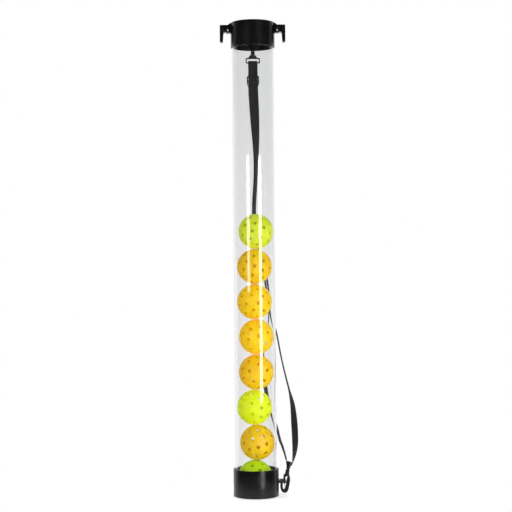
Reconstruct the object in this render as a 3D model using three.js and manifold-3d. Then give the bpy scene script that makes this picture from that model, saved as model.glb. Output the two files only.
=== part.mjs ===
// Clear pick-up and storage tube for pickleballs. A closed cap with two hanging hooks is on its top,
// and an open cap with flexible retaining fingers on its foot. Eight perforated balls stand in it, and
// a carrying strap hangs behind it, with a slider and a swivel snap hook at each end.
// Millimetres, +Z up. The origin is on the tube's axis, in the plane that the foot stands on.
// +X points to the lower strap anchor, and +Y to the side on which the strap hangs.
import * as THREE from 'three';
import { ConvexGeometry } from 'three/addons/geometries/ConvexGeometry.js';
import { mergeVertices } from 'three/addons/utils/BufferGeometryUtils.js';
import Module from 'manifold-3d';

const wasm = await Module();
wasm.setup();

// ---- driving dimensions ----
const GAP = 0.3;                  // between pieces that touch
const ROUND_SEGMENTS = 40;

const TUBE_RADIUS = 44;
const TUBE_WALL = 2;
const TUBE_FOOT_Z = 30;
const OVERALL_HEIGHT = 1000;

const FOOT_CAP_RADIUS = 48;
const FOOT_CAP_HEIGHT = 58;
const FOOT_CAP_EDGE = 4;
const MOUTH_RADIUS = 41;
const LIP_HEIGHT = 8;
const RETAINER_RING_WALL = 1.8;

const FINGER_COUNT = 6;
const FINGER_BASE_WIDTH = 15;
const FINGER_TIP_WIDTH = 11;
const FINGER_THICKNESS = 1.5;
const FINGER_CORNER = 2;
const FINGER_BASE = { r: 39.5, z: 10.5 };
const FINGER_TIP = { r: 35.8, z: 24 };

const TOP_CAP_RADIUS = 46.5;
const TOP_CAP_HEIGHT = 53.4;
const TOP_CAP_EDGE = 3.5;
const TOP_CAP_CEILING = 3;
const RIM_CHAMFER = 1;

const HOOK_BREADTH = 17;
const HOOK_REACH = 69.2;
const HOOK_TOP_Z = 994.4;
const HOOK_SEAT_Z = 977.7;
const HOOK_TIP_Z = 958;
const HOOK_CORNER = 2;
const HOOK_GUSSET = { x: 52, drop: 0.8 };
const HOOK_FACE = { seat: 61.1, tip: 62.6 };
const HOOK_ROOT = 1.3;            // how far the hook goes into the cap's wall
const HOOK_HOLE = { x: 52.2, z: 983.5, r: 1.8 };

const BALL_RADIUS = 37;
const BALL_WALL = 1.8;
const BALL_HOLE_RADIUS = 3.7;
const BALL_HOLE_SIDES = 5;
const BALL_SPACING = 2 * BALL_RADIUS + GAP;
const LOWEST_BALL_Z = 38.7;
// From the top of the stack down: each ball's colour, and how far it leans off the tube's axis.
const BALLS = [
  { color: 0xd8de3c, x: 3.8 },
  { color: 0xf0c60f, x: 0 },
  { color: 0xf0c008, x: -0.6 },
  { color: 0xeecc05, x: 3 },
  { color: 0xf8c608, x: 2.3 },
  { color: 0xd7ec08, x: -2.3 },
  { color: 0xeec60a, x: 3.6 },
  { color: 0xa5cd05, x: -1.5 },
];

const ANCHOR_HEIGHT = 6.5;
const ANCHOR_WIDTH = 22;
const ANCHOR_HOLE_WIDTH = 14;
const ANCHOR_BAR = 2.6;
const ANCHOR_WEB = 3;
const ANCHOR_CORNER = 3;
const FOOT_ANCHOR = { z: 30.7, bar: 61.7 };
const TOP_ANCHOR = { z: 977, bar: 60.8 };

// A snap hook stands with its bend at z = 0 and its swivel axis on +Z. Its spine is on +X.
const SNAP_BEND = 7.6;
const SNAP_BAR = 4.4;
const SNAP_THICKNESS = 5;
const SNAP_PRONG_Z = 28.7;
const SNAP_BARREL = { r: 4.75, low: 37.5, high: 44 };
const SNAP_BORE_RADIUS = 2.2;
const SNAP_COUNTERBORE = { r: 3.3, high: 41 };
const SNAP_EAR = { inner: 2.8, outer: 4 };
const GATE_PIVOT = { x: -4.6, z: 35.6 };
const GATE_END_Z = 29.5;
const GATE_WIDTH = 3.6;
const GATE_PIN_RADIUS = 0.8;
const GATE_SPRING_RADIUS = 1.9;
const GATE_SPRING_LENGTH = 1.8;
const EYE_WIDTH = 30;
const EYE_LOW = 51;
const EYE_HIGH = 63;
const EYE_BAR = 2.5;
const EYE_THICKNESS = 3;
const STEM_RADIUS = 1.9;
const STEM_HEAD = { r: 3, low: 39.2, high: 40.7 };

const STRAP_WIDTH = 20;
const STRAP_THICKNESS = 1.4;
// Short steps, so that the flat triangles on a twisted band's two faces stay clear of each other.
const MAIN_RUN_STEPS = 140;
const RETURN_RUN_STEPS = 132;
const FOOT_LOOP_STEPS = 24;
const SNAP_LEAN = THREE.MathUtils.degToRad(9.35);
const FOOT_SNAP_BEND = new THREE.Vector3(58.55, 0, 5.3);
const TOP_SNAP_BEND = new THREE.Vector3(0, TOP_ANCHOR.bar, 985);
const TOP_LOOP_END = 80;          // along the upper snap hook from its bend
const SLIDER = { width: 26, height: 23, z: 884, y: 64.2, thickness: 2, bar: 3.6 };
const SLIDER_TAIL = 18;            // the sewn end below the slider's frame

// ---- materials ----
function finish(color, roughness, metalness = 0, opacity = 1) {
  const settings = { color, roughness, metalness, opacity, transparent: opacity < 1 };
  return new THREE.MeshStandardMaterial(settings);
}
const capBlack = () => finish(0x1c1c1d, 0.45);
const webbingBlack = () => finish(0x17171a, 0.9);
const snapGrey = () => finish(0x34353a, 0.4, 0.6);

// ---- solids and joins ----
// A closed mesh as a solid. Triangles that a lathe squeezes flat on its axis are left out.
function toSolid(geometry) {
  const plain = geometry.clone();
  plain.deleteAttribute('normal');
  plain.deleteAttribute('uv');
  const merged = mergeVertices(plain, 1e-3);
  const corners = [];
  for (let i = 0; i < merged.index.count; i += 3) {
    const [a, b, c] = [0, 1, 2].map((k) => merged.index.getX(i + k));
    if (a !== b && b !== c && c !== a) corners.push(a, b, c);
  }
  return new wasm.Manifold(new wasm.Mesh({
    numProp: 3,
    vertProperties: new Float32Array(merged.attributes.position.array),
    triVerts: new Uint32Array(corners),
  }));
}

function toGeometry(solid) {
  const mesh = solid.getMesh();
  const geometry = new THREE.BufferGeometry();
  geometry.setAttribute('position', new THREE.BufferAttribute(mesh.vertProperties, 3));
  geometry.setIndex(new THREE.BufferAttribute(mesh.triVerts, 1));
  return geometry;
}

const join = (...parts) => parts.map(toSolid).reduce((sum, part) => sum.add(part));
const cut = (solid, ...parts) => parts.map(toSolid).reduce((rest, part) => rest.subtract(part), solid);

// A profile of [radius, z] pairs turned round Z.
function turned(profile, segments = ROUND_SEGMENTS) {
  const points = profile.map(([r, z]) => new THREE.Vector2(r, z));
  return new THREE.LatheGeometry(points, segments).rotateX(Math.PI / 2);
}

// A ring of rectangular section, as a closed profile.
function turnedRing(inner, outer, low, high, segments = ROUND_SEGMENTS) {
  return turned([[inner, low], [outer, low], [outer, high], [inner, high], [inner, low]], segments);
}

// A quarter-round edge between two directions, as [radius, z] pairs.
function edgeArc(centreR, centreZ, radius, from, to, steps = 3) {
  return Array.from({ length: steps + 1 }, (_, i) => {
    const angle = THREE.MathUtils.degToRad(from + (to - from) * i / steps);
    return [centreR + radius * Math.cos(angle), centreZ + radius * Math.sin(angle)];
  });
}

function outline(points, holes = []) {
  const shape = new THREE.Shape(points.map(([x, y]) => new THREE.Vector2(x, y)));
  holes.forEach((hole) => shape.holes.push(new THREE.Path(hole.map(([x, y]) => new THREE.Vector2(x, y)))));
  return shape;
}

function extruded(shape, depth) {
  return new THREE.ExtrudeGeometry(shape, { depth, bevelEnabled: false, curveSegments: 10 });
}

// An outline in the XZ plane, with its depth centred on Y.
const plateXZ = (shape, depth) => extruded(shape, depth).rotateX(Math.PI / 2).translate(0, depth / 2, 0);

// An outline drawn as (y, z), with its depth centred on X.
function plateYZ(shape, depth) {
  const axes = new THREE.Matrix4().makeBasis(
    new THREE.Vector3(0, 1, 0), new THREE.Vector3(0, 0, 1), new THREE.Vector3(1, 0, 0));
  return extruded(shape, depth).applyMatrix4(axes).translate(-depth / 2, 0, 0);
}

const rodY = (radius, length, segments = 12) => new THREE.CylinderGeometry(radius, radius, length, segments);
const rodZ = (radius, low, high, segments = 16) =>
  new THREE.CylinderGeometry(radius, radius, high - low, segments)
    .rotateX(Math.PI / 2).translate(0, 0, (low + high) / 2);

function circlePoints(x, y, radius, from, to, steps) {
  return Array.from({ length: steps + 1 }, (_, i) => {
    const angle = THREE.MathUtils.degToRad(from + (to - from) * i / steps);
    return [x + radius * Math.cos(angle), y + radius * Math.sin(angle)];
  });
}

function piece(name, geometry, material) {
  const mesh = new THREE.Mesh(geometry, material);
  mesh.name = name;
  return mesh;
}

// ---- tube and caps ----
const SOCKET_RADIUS = TUBE_RADIUS + GAP;
const CEILING_Z = OVERALL_HEIGHT - TOP_CAP_CEILING;

function tube() {
  return turnedRing(TUBE_RADIUS - TUBE_WALL, TUBE_RADIUS, TUBE_FOOT_Z, CEILING_Z - GAP);
}

function footCap() {
  const edgeCentre = FOOT_CAP_RADIUS - FOOT_CAP_EDGE;
  const top = FOOT_CAP_HEIGHT;
  return turned([
    [MOUTH_RADIUS, 0],
    ...edgeArc(edgeCentre, FOOT_CAP_EDGE, FOOT_CAP_EDGE, -90, 0),
    [FOOT_CAP_RADIUS, top - RIM_CHAMFER],
    [FOOT_CAP_RADIUS - RIM_CHAMFER, top],
    [SOCKET_RADIUS, top],
    [SOCKET_RADIUS, LIP_HEIGHT],
    [MOUTH_RADIUS, LIP_HEIGHT],
    [MOUTH_RADIUS, 0],
  ]);
}

function retainerRing() {
  return turnedRing(TUBE_RADIUS - RETAINER_RING_WALL, TUBE_RADIUS, LIP_HEIGHT + GAP, TUBE_FOOT_Z - GAP);
}

// One finger, standing at its hinge on +X and leaning in to its tip.
function finger() {
  const rise = FINGER_TIP.z - FINGER_BASE.z;
  const run = FINGER_BASE.r - FINGER_TIP.r;
  const length = Math.hypot(rise, run);
  const [base, tip] = [FINGER_BASE_WIDTH / 2, FINGER_TIP_WIDTH / 2];
  const leaf = outline([[-base, 0], [base, 0], [tip, length - FINGER_CORNER], [tip - FINGER_CORNER, length],
    [FINGER_CORNER - tip, length], [-tip, length - FINGER_CORNER]]);
  return plateYZ(leaf, FINGER_THICKNESS)
    .translate(FINGER_THICKNESS / 2, 0, 0)
    .rotateY(-Math.atan2(run, rise))
    .translate(FINGER_BASE.r, 0, FINGER_BASE.z);
}

function hangingHook(side) {
  const corner = circlePoints(HOOK_REACH - HOOK_CORNER, HOOK_TOP_Z - HOOK_CORNER, HOOK_CORNER, 90, 0, 3);
  const wall = TOP_CAP_RADIUS - HOOK_ROOT;
  const points = [
    [wall, OVERALL_HEIGHT - HOOK_GUSSET.drop], [HOOK_GUSSET.x, HOOK_TOP_Z],
    ...corner,
    [HOOK_REACH, HOOK_TIP_Z + RIM_CHAMFER], [HOOK_REACH - RIM_CHAMFER, HOOK_TIP_Z],
    [HOOK_FACE.tip, HOOK_TIP_Z], [HOOK_FACE.seat, HOOK_SEAT_Z], [wall, HOOK_SEAT_Z],
  ];
  const hole = circlePoints(HOOK_HOLE.x, HOOK_HOLE.z, HOOK_HOLE.r, 360, 36, 9);
  const hook = plateXZ(outline(points.reverse(), [hole]), HOOK_BREADTH);
  return side > 0 ? hook : hook.rotateZ(Math.PI);
}

function topCap() {
  const low = OVERALL_HEIGHT - TOP_CAP_HEIGHT;
  const edgeCentre = TOP_CAP_RADIUS - TOP_CAP_EDGE;
  const shell = turned([
    [0, CEILING_Z],
    [SOCKET_RADIUS, CEILING_Z],
    [SOCKET_RADIUS, low],
    [TOP_CAP_RADIUS, low],
    ...edgeArc(edgeCentre, OVERALL_HEIGHT - TOP_CAP_EDGE, TOP_CAP_EDGE, 0, 90),
    [0, OVERALL_HEIGHT],
  ]);
  return toGeometry(join(shell, hangingHook(1), hangingHook(-1)));
}

// A flat loop on +X, seated on a cap of the given radius.
function strapAnchor(capRadius, { z, bar }) {
  const seat = capRadius + GAP;
  const half = ANCHOR_WIDTH / 2;
  const spread = THREE.MathUtils.radToDeg(Math.asin(half / seat));
  const outer = bar + ANCHOR_BAR / 2;
  const inner = bar - ANCHOR_BAR / 2;
  const hole = ANCHOR_HOLE_WIDTH / 2;
  const loop = outline(
    [...circlePoints(0, 0, seat, spread, -spread, 6), [outer - ANCHOR_CORNER, -half],
      [outer, -half + ANCHOR_CORNER], [outer, half - ANCHOR_CORNER], [outer - ANCHOR_CORNER, half]],
    [[[seat + ANCHOR_WEB, -hole], [seat + ANCHOR_WEB, hole], [inner, hole], [inner, -hole]]]);
  return extruded(loop, ANCHOR_HEIGHT).translate(0, 0, z - ANCHOR_HEIGHT / 2);
}

// ---- balls ----
// Forty holes look out from the corners of a once-divided icosahedron, but for two opposite ones.
function ballDirections() {
  const corners = new THREE.IcosahedronGeometry(1, 1);
  corners.deleteAttribute('normal');
  corners.deleteAttribute('uv');
  const { position } = mergeVertices(corners, 1e-3).attributes;
  const all = Array.from({ length: position.count }, (_, i) =>
    new THREE.Vector3().fromBufferAttribute(position, i).normalize());
  const isPole = (direction) => Math.abs(direction.dot(all[0])) > 0.99;
  return { poles: all.filter(isPole), holes: all.filter((direction) => !isPole(direction)) };
}

// The corners of one hole's rim, on the outer sphere.
function rimPoints(direction) {
  const turn = new THREE.Quaternion().setFromUnitVectors(new THREE.Vector3(0, 0, 1), direction);
  const depth = Math.sqrt(BALL_RADIUS ** 2 - BALL_HOLE_RADIUS ** 2);
  return circlePoints(0, 0, BALL_HOLE_RADIUS, 0, 360, BALL_HOLE_SIDES).slice(1)
    .map(([x, y]) => new THREE.Vector3(x, y, depth).applyQuaternion(turn));
}

// The hull of all the rims, less the lids over the holes, is the outer skin. The inner skin is the same
// one made smaller and turned inside out, and a wall joins the two round each rim.
function ballGeometry() {
  const { poles, holes } = ballDirections();
  const rims = holes.map(rimPoints);
  const ends = poles.map((pole) => pole.clone().setLength(BALL_RADIUS));
  const { position } = new ConvexGeometry([...ends, ...rims.flat()]).attributes;
  const rimOf = (point) => rims.findIndex((rim) => rim.some((corner) => corner.distanceTo(point) < 1e-3));
  const inward = (point) => point.clone().multiplyScalar(1 - BALL_WALL / BALL_RADIUS);
  const triangles = [];
  for (let i = 0; i < position.count; i += 3) {
    const corners = [0, 1, 2].map((k) => new THREE.Vector3().fromBufferAttribute(position, i + k));
    const owners = corners.map(rimOf);
    const isLid = owners[0] >= 0 && owners.every((owner) => owner === owners[0]);
    if (isLid) continue;
    const [a, b, c] = corners;
    triangles.push([a, b, c], [inward(c), inward(b), inward(a)]);
    for (let k = 0; k < 3; k += 1) {
      const next = (k + 1) % 3;
      if (owners[k] < 0 || owners[k] !== owners[next]) continue;
      const [from, to] = [corners[k], corners[next]];
      triangles.push([to, from, inward(from)], [to, inward(from), inward(to)]);
    }
  }
  return new THREE.BufferGeometry().setFromPoints(triangles.flat());
}

// The stack leans from side to side in the bore, each ball resting on the one below.
function ballStack() {
  const geometry = ballGeometry();
  const stack = new THREE.Group();
  let z = LOWEST_BALL_Z;
  for (let i = BALLS.length - 1; i >= 0; i -= 1) {
    const { color, x } = BALLS[i];
    const below = BALLS[i + 1];
    if (below) z += Math.sqrt(BALL_SPACING ** 2 - (x - below.x) ** 2);
    const ball = piece(`ball_${i + 1}`, geometry, finish(color, 0.5));
    ball.position.set(x, 0, z);
    ball.rotation.set(0.7 * i, 1.1 * i, 0.4 * i);
    stack.add(ball);
  }
  return stack;
}

// ---- snap hooks ----
function snapBody() {
  const [outer, inner] = [SNAP_BEND, SNAP_BEND - SNAP_BAR];
  const hook = outline([
    [-outer, SNAP_PRONG_Z - 1.4],
    ...circlePoints(0, outer, outer, 180, 360, 12),
    [outer, 31], [SNAP_BARREL.r, 39], [-1, 39], [-1, SNAP_BARREL.low], [1.5, 36.5], [inner, 33.5],
    ...circlePoints(0, outer, inner, 360, 180, 10),
    [-inner, SNAP_PRONG_Z - 1], [-inner - 1, SNAP_PRONG_Z], [-outer + 1.4, SNAP_PRONG_Z],
  ]);
  const ear = outline([[-6.8, 33.4], [-2.4, 33.4], [2, 37.8], [2, 40], [-4, 40], [-6.8, 37.5]]);
  const earThickness = SNAP_EAR.outer - SNAP_EAR.inner;
  const earOffset = (SNAP_EAR.outer + SNAP_EAR.inner) / 2;
  const solid = join(
    plateXZ(hook, SNAP_THICKNESS),
    rodZ(SNAP_BARREL.r, SNAP_BARREL.low, SNAP_BARREL.high),
    plateXZ(ear, earThickness).translate(0, earOffset, 0),
    plateXZ(ear, earThickness).translate(0, -earOffset, 0));
  const pinHole = rodY(GATE_PIN_RADIUS + GAP, 12).translate(GATE_PIVOT.x, 0, GATE_PIVOT.z);
  const bore = rodZ(SNAP_BORE_RADIUS, SNAP_BARREL.low - 1, SNAP_BARREL.high + 1);
  const counterbore = rodZ(SNAP_COUNTERBORE.r, SNAP_BARREL.low - 1, SNAP_COUNTERBORE.high);
  return toGeometry(cut(solid, pinHole, bore, counterbore));
}

// The gate hangs from its pin and closes the gap above the prong. A slot in it holds the spring.
function snapGate() {
  const half = GATE_WIDTH / 2;
  const { x, z } = GATE_PIVOT;
  const lever = outline([...circlePoints(x, z, half, 0, 180, 8), [x - half, GATE_END_Z + 1],
    [x - half + 1, GATE_END_Z], [x + half - 1, GATE_END_Z], [x + half, GATE_END_Z + 1]]);
  const pinHole = rodY(GATE_PIN_RADIUS + GAP, 12).translate(x, 0, z);
  const slotLength = GATE_SPRING_LENGTH + 2 * GAP;
  const springSlot = new THREE.BoxGeometry(2 * GATE_WIDTH, slotLength, 2 * (GATE_SPRING_RADIUS + GAP))
    .translate(x, 0, z);
  return toGeometry(cut(toSolid(plateXZ(lever, SNAP_THICKNESS)), pinHole, springSlot));
}

const gatePin = () => rodY(GATE_PIN_RADIUS, 2 * SNAP_EAR.outer + 0.4)
  .translate(GATE_PIVOT.x, 0, GATE_PIVOT.z);

const gateSpring = () => turnedRing(
  GATE_PIN_RADIUS + GAP, GATE_SPRING_RADIUS, -GATE_SPRING_LENGTH / 2, GATE_SPRING_LENGTH / 2, 12)
  .rotateX(Math.PI / 2).translate(GATE_PIVOT.x, 0, GATE_PIVOT.z);

// The eye's frame stands across the hook's plane: its bar lies along Y.
function swivelEye() {
  const half = EYE_WIDTH / 2;
  const [low, high] = [EYE_LOW, EYE_HIGH];
  const neck = SNAP_BARREL.high + GAP;
  const window = [[-half + EYE_BAR, low + EYE_BAR], [half - EYE_BAR, low + EYE_BAR],
    [half - EYE_BAR, high - EYE_BAR], [-half + EYE_BAR, high - EYE_BAR]];
  const gapRight = [[1.6, 47.4], [6.2, low - 0.2], [1.6, low - 0.2]];
  const gapLeft = gapRight.map(([y, z]) => [-y, z]).reverse();
  const frame = outline(
    [[-STEM_RADIUS - 0.6, neck], [STEM_RADIUS + 0.6, neck], [9.5, low], [half - 1, low], [half, low + 1],
      [half, high - 1], [half - 1, high], [1 - half, high], [-half, high - 1], [-half, low + 1],
      [1 - half, low], [-9.5, low]],
    [window, gapRight, gapLeft]);
  return toGeometry(join(
    plateYZ(frame, EYE_THICKNESS),
    rodZ(STEM_RADIUS, STEM_HEAD.low + 0.5, neck + 0.5, 12),
    rodZ(STEM_HEAD.r, STEM_HEAD.low, STEM_HEAD.high, 12)));
}

function snapHook(prefix) {
  const group = new THREE.Group();
  group.add(
    piece(`${prefix}_snap_body`, snapBody(), snapGrey()),
    piece(`${prefix}_snap_gate`, snapGate(), snapGrey()),
    piece(`${prefix}_gate_pin`, gatePin(), snapGrey()),
    piece(`${prefix}_gate_spring`, gateSpring(), snapGrey()),
    piece(`${prefix}_swivel_eye`, swivelEye(), snapGrey()));
  return group;
}

// ---- strap ----
// A flat band along a curve. Each station holds a point and the band's twist: the angle, in degrees,
// from +X towards +Y in which its width lies.
class TwistedPath extends THREE.CatmullRomCurve3 {
  constructor(stations) {
    super(stations.map(([x, y, z]) => new THREE.Vector3(x, y, z)));
    this.twists = new THREE.CatmullRomCurve3(stations.map(([, , , twist]) => new THREE.Vector3(twist, 0, 0)));
  }

  computeFrenetFrames(steps) {
    const frames = { tangents: [], normals: [], binormals: [] };
    for (let i = 0; i <= steps; i += 1) {
      const along = this.getUtoTmapping(i / steps);
      const twist = THREE.MathUtils.degToRad(this.twists.getPoint(along).x);
      const tangent = this.getTangent(along);
      const width = new THREE.Vector3(Math.cos(twist), Math.sin(twist), 0);
      width.addScaledVector(tangent, -width.dot(tangent)).normalize();
      frames.tangents.push(tangent);
      frames.binormals.push(width);
      frames.normals.push(new THREE.Vector3().crossVectors(width, tangent));
    }
    return frames;
  }
}

function band(stations, steps) {
  const [t, w] = [STRAP_THICKNESS / 2, STRAP_WIDTH / 2];
  const section = outline([[-t, -w], [t, -w], [t, w], [-t, w]]);
  return new THREE.ExtrudeGeometry(section, {
    steps, bevelEnabled: false, extrudePath: new TwistedPath(stations),
  });
}

// The run from the upper eye, past the slider, round the tube's side and down to the lower eye.
const MAIN_RUN = [
  [0, 60.8, 904.7, 0], [0, 60.8, 872, 0], [0, 60.8, 838, 2], [0, 60.8, 800, 20], [3.5, 60, 757, 52],
  [4.3, 59.5, 714, 66], [3.5, 59, 671, 73], [1.3, 58.5, 627, 73], [0.6, 58, 600, 74], [6, 56, 560, 76],
  [17, 52.5, 505, 79], [29.7, 49, 446, 81], [35.5, 46, 380, 83], [45.6, 38, 342, 84], [54.8, 30, 293, 84],
  [62.6, 25, 257, 84], [71.3, 20, 222, 82], [78.3, 15, 190, 63], [82, 10, 146, 50], [83, 5, 116.6, 52],
  [82.4, 1.4, 100, 64], [80.5, 0, 86, 82], [78.6, 0, 74.8, 90],
];

// The run from the slider's sewn end down to the lower eye, behind and inside the main run.
const RETURN_RUN = [
  [0, 68.2, 864, 0], [0, 68.2, 838, 2], [-0.6, 66, 800, 20], [1, 62.4, 757, 52],
  [1.7, 61, 714, 66], [0.8, 60.3, 671, 73], [-1.6, 59.8, 627, 73], [-2, 59.6, 600, 74], [1, 58, 560, 77],
  [11, 54, 505, 78], [24.5, 51.5, 446, 80], [28.8, 51, 410, 84], [31.5, 51, 380, 84], [27, 51.3, 342, 85],
  [18.8, 51.8, 300, 86], [19, 51.8, 255, 80], [23.5, 51.5, 218, 61], [34.7, 43.5, 170, 72],
  [45.2, 32, 141, 80], [53, 19, 114.5, 82], [57.5, 7, 102, 86], [60.9, 0.5, 89, 90], [63.4, 0, 77, 90],
];

// The sewn end round the upper eye's bar, drawn as (across, along) the upper snap hook.
function topLoop() {
  const reach = EYE_THICKNESS / 2 + GAP;
  const skin = reach + STRAP_THICKNESS;
  const start = EYE_HIGH - EYE_BAR;
  const shape = outline(
    [...circlePoints(0, start, skin, 0, -180, 6), [-skin, 65], [-STRAP_THICKNESS, 70],
      [-STRAP_THICKNESS, TOP_LOOP_END], [STRAP_THICKNESS, TOP_LOOP_END], [STRAP_THICKNESS, 70], [skin, 65]],
    [[[-reach, start - GAP], [reach, start - GAP], [reach, 64.5], [0, 68.5], [-reach, 64.5]]]);
  return plateXZ(shape, STRAP_WIDTH);
}

// The turn of the strap round the lower eye's bar, on the lower snap hook.
const BOTTOM_LOOP = [
  [8.3, 0, 70, 90], [7.8, 0, 65, 90], [5, 0, 60, 90], [0, 0, 58.2, 90], [-3.8, 0, 60.4, 90],
  [-4.9, 0, 65, 90], [-6, 0, 70, 90],
];

// Three bars across a frame whose lower corners are cut back. It lies behind the main run.
function slider() {
  const [w, h, bar] = [SLIDER.width / 2, SLIDER.height / 2, SLIDER.bar / 2];
  const side = STRAP_WIDTH / 2 + 0.6;
  const slot = (low, high) => [[-side, low], [side, low], [side, high], [-side, high]];
  const shape = outline(
    [[-w, -h + 6], [-w + 3, -h], [w - 3, -h], [w, -h + 6], [w, h - 4], [w - 1.2, h - 1.2], [w - 4, h],
      [4 - w, h], [1.2 - w, h - 1.2], [-w, h - 4]],
    [slot(-h + SLIDER.bar, -bar), slot(bar, h - SLIDER.bar)]);
  return plateXZ(shape, SLIDER.thickness).translate(0, SLIDER.y, SLIDER.z);
}

// The return run's sewn end: it goes round the slider's middle bar and below its lower bar.
function sliderLoop() {
  const half = SLIDER.thickness / 2 + GAP;
  const skin = half + 1;
  const top = SLIDER.z + SLIDER.bar / 2 + GAP;
  const low = SLIDER.z - SLIDER.height / 2 - 3;
  const shape = outline(
    [[-skin, low], [-1.1, low - 5], [-1.1, low - SLIDER_TAIL], [1.1, low - SLIDER_TAIL], [1.1, low - 5],
      [skin, low], [skin, top], [half, top + 1], [-half, top + 1], [-skin, top]],
    [[[-half, low], [-half, top], [half, top], [half, low], [0, low - 2.5]]]);
  return plateYZ(shape, STRAP_WIDTH).translate(0, SLIDER.y, 0);
}

// ---- assembly ----
const model = new THREE.Group();

model.add(
  piece('tube', tube(), finish(0xeef2f2, 0.08, 0, 0.25)),
  piece('bottom_cap', footCap(), capBlack()),
  piece('retainer_ring', retainerRing(), capBlack()),
  piece('top_cap', topCap(), capBlack()));

const fingerGeometry = finger();
for (let i = 0; i < FINGER_COUNT; i += 1) {
  const leaf = piece(`retainer_finger_${i + 1}`, fingerGeometry, capBlack());
  leaf.rotation.z = 2 * Math.PI * i / FINGER_COUNT;
  model.add(leaf);
}

const rearAnchor = piece('strap_anchor_top', strapAnchor(TOP_CAP_RADIUS, TOP_ANCHOR), capBlack());
rearAnchor.rotation.z = Math.PI / 2;
model.add(rearAnchor, piece('strap_anchor_bottom', strapAnchor(FOOT_CAP_RADIUS, FOOT_ANCHOR), capBlack()));

model.add(ballStack());

// The upper snap hook hangs with its bend up and its spine away from the tube.
const upperSnap = snapHook('top');
upperSnap.add(piece('strap_top_loop', topLoop(), webbingBlack()));
upperSnap.quaternion.setFromRotationMatrix(new THREE.Matrix4().makeBasis(
  new THREE.Vector3(0, 1, 0), new THREE.Vector3(1, 0, 0), new THREE.Vector3(0, 0, -1)));
upperSnap.position.copy(TOP_SNAP_BEND);

// The lower snap hook stands on its bend and leans away from the tube.
const lowerSnap = snapHook('bottom');
lowerSnap.add(piece('strap_bottom_loop', band(BOTTOM_LOOP, FOOT_LOOP_STEPS), webbingBlack()));
lowerSnap.rotation.y = SNAP_LEAN;
lowerSnap.position.copy(FOOT_SNAP_BEND);

model.add(upperSnap, lowerSnap);

model.add(
  piece('strap_main_run', band(MAIN_RUN, MAIN_RUN_STEPS), webbingBlack()),
  piece('strap_return_run', band(RETURN_RUN, RETURN_RUN_STEPS), webbingBlack()),
  piece('strap_slider', slider(), snapGrey()),
  piece('strap_slider_loop', sliderLoop(), webbingBlack()));

export default model;
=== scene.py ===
import math

import bmesh
import bpy
from mathutils import Euler, Matrix, Vector


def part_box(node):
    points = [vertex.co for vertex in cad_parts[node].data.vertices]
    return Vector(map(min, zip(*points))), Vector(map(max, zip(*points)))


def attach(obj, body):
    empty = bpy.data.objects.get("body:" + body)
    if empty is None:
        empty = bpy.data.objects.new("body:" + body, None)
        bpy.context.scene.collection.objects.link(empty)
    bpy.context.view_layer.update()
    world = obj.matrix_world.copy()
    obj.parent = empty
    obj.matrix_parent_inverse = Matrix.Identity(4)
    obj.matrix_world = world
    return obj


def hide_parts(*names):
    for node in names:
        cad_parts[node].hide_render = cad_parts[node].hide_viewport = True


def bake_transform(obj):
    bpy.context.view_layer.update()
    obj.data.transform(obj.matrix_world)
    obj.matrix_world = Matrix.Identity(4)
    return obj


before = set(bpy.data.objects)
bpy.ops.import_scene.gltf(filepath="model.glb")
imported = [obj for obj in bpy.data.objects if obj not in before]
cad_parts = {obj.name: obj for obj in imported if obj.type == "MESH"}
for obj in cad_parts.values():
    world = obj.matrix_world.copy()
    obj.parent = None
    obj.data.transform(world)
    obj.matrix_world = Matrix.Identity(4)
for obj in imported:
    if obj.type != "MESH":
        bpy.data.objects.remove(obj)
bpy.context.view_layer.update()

MM = 0.001
SCENE = bpy.context.scene
# Points of a mesh that are closer than this become one: in metres, and in a plate's millimetres.
WELD = 1e-6
PLATE_WELD = 0.004


# ---- places and sizes, from the frame ----
def size_of(node):
    """A CAD node's lowest and highest corners."""
    low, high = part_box(node)
    return Vector(low), Vector(high)


tube_low, tube_high = size_of("tube")
_, foot_high = size_of("bottom_cap")
top_low, top_high = size_of("top_cap")
ring_low, ring_high = size_of("retainer_ring")
slider_low, slider_high = size_of("strap_slider")

TUBE_RADIUS = tube_high.x
TUBE_WALL = 2 * MM
FOOT_RADIUS = foot_high.x
TOP_RADIUS = top_high.y
GAP = 0.3 * MM
BALL_RADIUS = 37 * MM
BALL_WALL = 1.8 * MM
HOLE_RADIUS = 3.6 * MM


# ---- camera ----
def make_camera():
    distance = 2.9
    eye_height = 0.4915
    side = 0.0034
    data = bpy.data.cameras.new("camera")
    data.sensor_width = 36
    data.lens = 96.45
    camera = bpy.data.objects.new("camera", data)
    SCENE.collection.objects.link(camera)
    camera.location = (side, -distance, eye_height)
    tilt_up = math.radians(0.29)
    roll = math.radians(-0.48)
    aim = Matrix.Rotation(math.radians(90) + tilt_up, 4, "X") @ Matrix.Rotation(roll, 4, "Z")
    camera.rotation_euler = aim.to_euler()
    SCENE.camera = camera


# ---- mesh helpers ----
def stand_for(piece, node, body):
    """Puts a piece in the place of a CAD node, on the body that it moves with."""
    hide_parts(node)
    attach(piece, body)


def new_object(name, mesh, material=None):
    """A shown piece. Its smooth shading follows its large faces, so that flat walls stay flat."""
    obj = bpy.data.objects.new(name, mesh)
    SCENE.collection.objects.link(obj)
    if material is not None:
        mesh.materials.append(material)
    shading = obj.modifiers.new("shading", "WEIGHTED_NORMAL")
    shading.keep_sharp = True
    shading.weight = 80
    return obj


def smooth(mesh, angle=32):
    mesh.polygons.foreach_set("use_smooth", [True] * len(mesh.polygons))
    mesh.set_sharp_from_angle(angle=math.radians(angle))


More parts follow.
